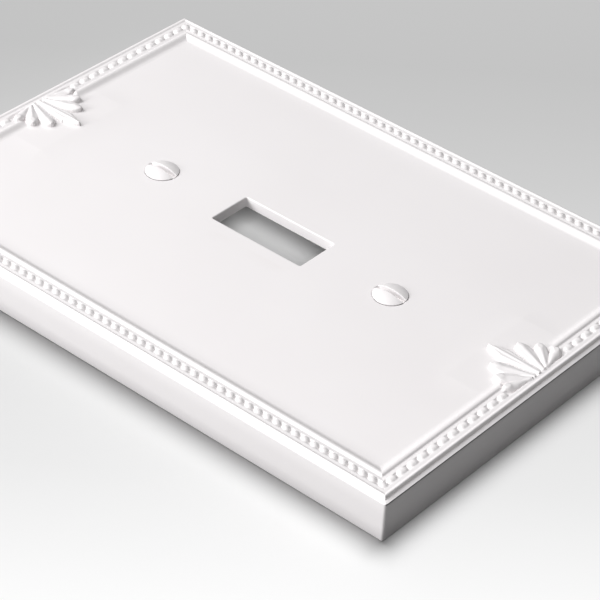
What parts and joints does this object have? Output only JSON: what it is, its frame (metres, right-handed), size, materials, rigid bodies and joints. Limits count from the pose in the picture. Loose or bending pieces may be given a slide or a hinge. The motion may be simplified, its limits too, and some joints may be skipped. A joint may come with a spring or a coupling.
{
  "type": "switch wall plate cover",
  "caption": "Decorative single-toggle wall plate with a beaded moulding, shell ornaments and two captive oval-head screws.",
  "frame": {"origin": "centre of the plane where the plate's back rim meets the wall", "axes": "+Z out of the wall, +Y up the long side, +X along the short side"},
  "size_m": [0.0964, 0.137, 0.0201],
  "materials": {
    "plate_enamel": "satin white enamel over a cast body",
    "screw_enamel": "white enamelled head on a plated steel screw",
    "washer_nylon": "natural nylon"
  },
  "bodies": {
    "plate": {"cover_plate": "plate_enamel"},
    "upper_washer": {"upper_retaining_washer": "washer_nylon"},
    "upper_screw": {"upper_screw": "screw_enamel"},
    "lower_washer": {"lower_retaining_washer": "washer_nylon"},
    "lower_screw": {"lower_screw": "screw_enamel"}
  },
  "joints": [
    {"name": "upper_screw_travel", "type": "slide", "parent": "plate", "child": "upper_washer", "axis": [0, 0, 1], "range_m": [0, 0.00238]},
    {"name": "upper_screw_turn", "type": "hinge", "parent": "upper_washer", "child": "upper_screw", "pos_m": [0, 0.03016, 0.0087], "axis": [0, 0, 1], "range_deg": [0, 1080]},
    {"name": "lower_screw_travel", "type": "slide", "parent": "plate", "child": "lower_washer", "axis": [0, 0, 1], "range_m": [0, 0.00238]},
    {"name": "lower_screw_turn", "type": "hinge", "parent": "lower_washer", "child": "lower_screw", "pos_m": [0, -0.03016, 0.0087], "axis": [0, 0, 1], "range_deg": [0, 1080]}
  ],
  "couplings": [
    {"joint": "upper_screw_turn", "follows": "upper_screw_travel", "rad_per_m": 7915.8},
    {"joint": "lower_screw_turn", "follows": "lower_screw_travel", "rad_per_m": 7915.8}
  ]
}
